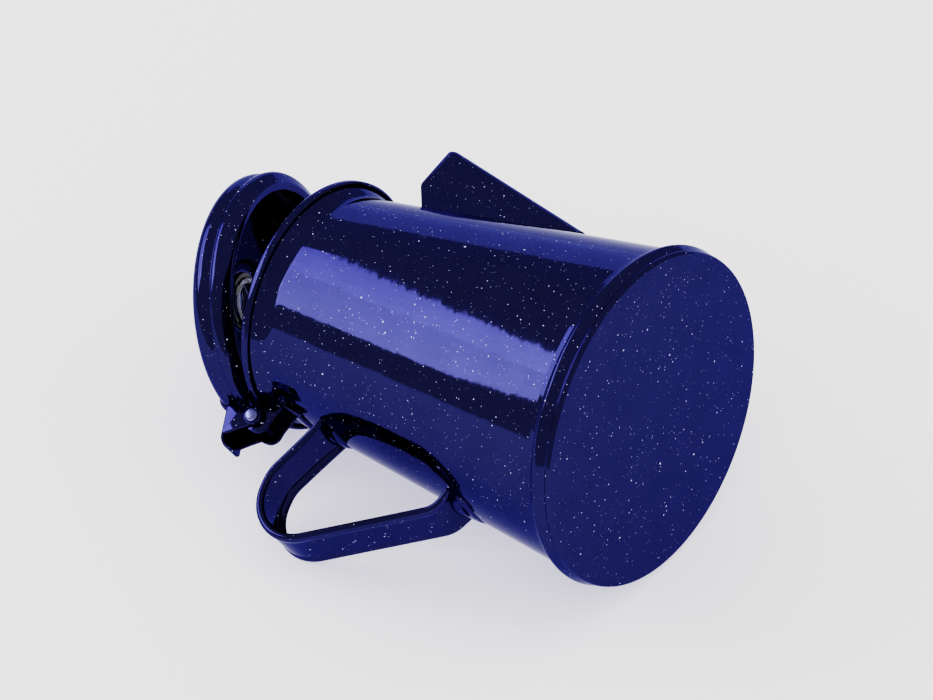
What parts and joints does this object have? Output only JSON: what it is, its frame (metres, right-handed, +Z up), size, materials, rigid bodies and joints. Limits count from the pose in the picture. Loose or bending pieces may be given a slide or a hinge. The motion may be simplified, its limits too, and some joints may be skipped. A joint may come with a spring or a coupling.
{
  "type": "coffee percolator",
  "caption": "Enamelled steel camping percolator with flared body, V spout, strap handle, hinged lid with clear knob, pump tube and coffee basket.",
  "frame": {"origin": "centre of the flat underside of the base, on the pot's axis", "axes": "+Z up along the pot's axis, +X towards the spout, handle and lid hinge at -X, hinge pin along Y"},
  "size_m": [0.183, 0.1396, 0.2255],
  "materials": {
    "enamel": "glossy cobalt blue vitreous enamel with fine white flecks",
    "steel": "plain stainless steel",
    "aluminium": "spun aluminium",
    "clear_glass": "clear moulded glass",
    "gasket": "matte black rubber"
  },
  "bodies": {
    "pot": {"pot_body": "enamel", "bottom_pan": "enamel", "spout": "enamel", "handle": "enamel", "hinge_bracket": "enamel"},
    "lid": {"lid_shell": "enamel", "lid_hinge_leaf": "enamel", "knob_socket": "steel", "hinge_pin": "enamel", "pin_washers": "enamel"},
    "knob": {"knob": "clear_glass", "knob_gasket": "gasket"},
    "pump": {"stem_tube": "aluminium", "stem_collar": "aluminium", "pump_foot": "aluminium", "valve_seat": "aluminium"},
    "valve": {"valve_disc": "steel"},
    "basket": {"basket_shell": "aluminium", "basket_sleeve": "aluminium"},
    "spreader": {"spreader_plate": "aluminium"}
  },
  "joints": [
    {"name": "lid_hinge", "type": "hinge", "parent": "pot", "child": "lid", "pos_m": [-0.057, 0, 0.167], "axis": [0, -1, 0], "range_deg": [-19.5, 78]},
    {"name": "knob_turn", "type": "hinge", "parent": "lid", "child": "knob", "pos_m": [-0.01095, 0, 0.20771], "axis": [-0.3338, 0, 0.9426], "range_deg": [0, 90]},
    {"name": "pump_lift", "type": "slide", "parent": "pot", "child": "pump", "axis": [0, 0, 1], "range_m": [0, 0.003]},
    {"name": "basket_lift", "type": "slide", "parent": "pump", "child": "basket", "axis": [0, 0, 1], "range_m": [0, 0.004]},
    {"name": "spreader_lift", "type": "slide", "parent": "basket", "child": "spreader", "axis": [0, 0, 1], "range_m": [0, 0.004]},
    {"name": "valve_lift", "type": "slide", "parent": "pump", "child": "valve", "axis": [0, 0, 1], "range_m": [0, 0.003]}
  ]
}
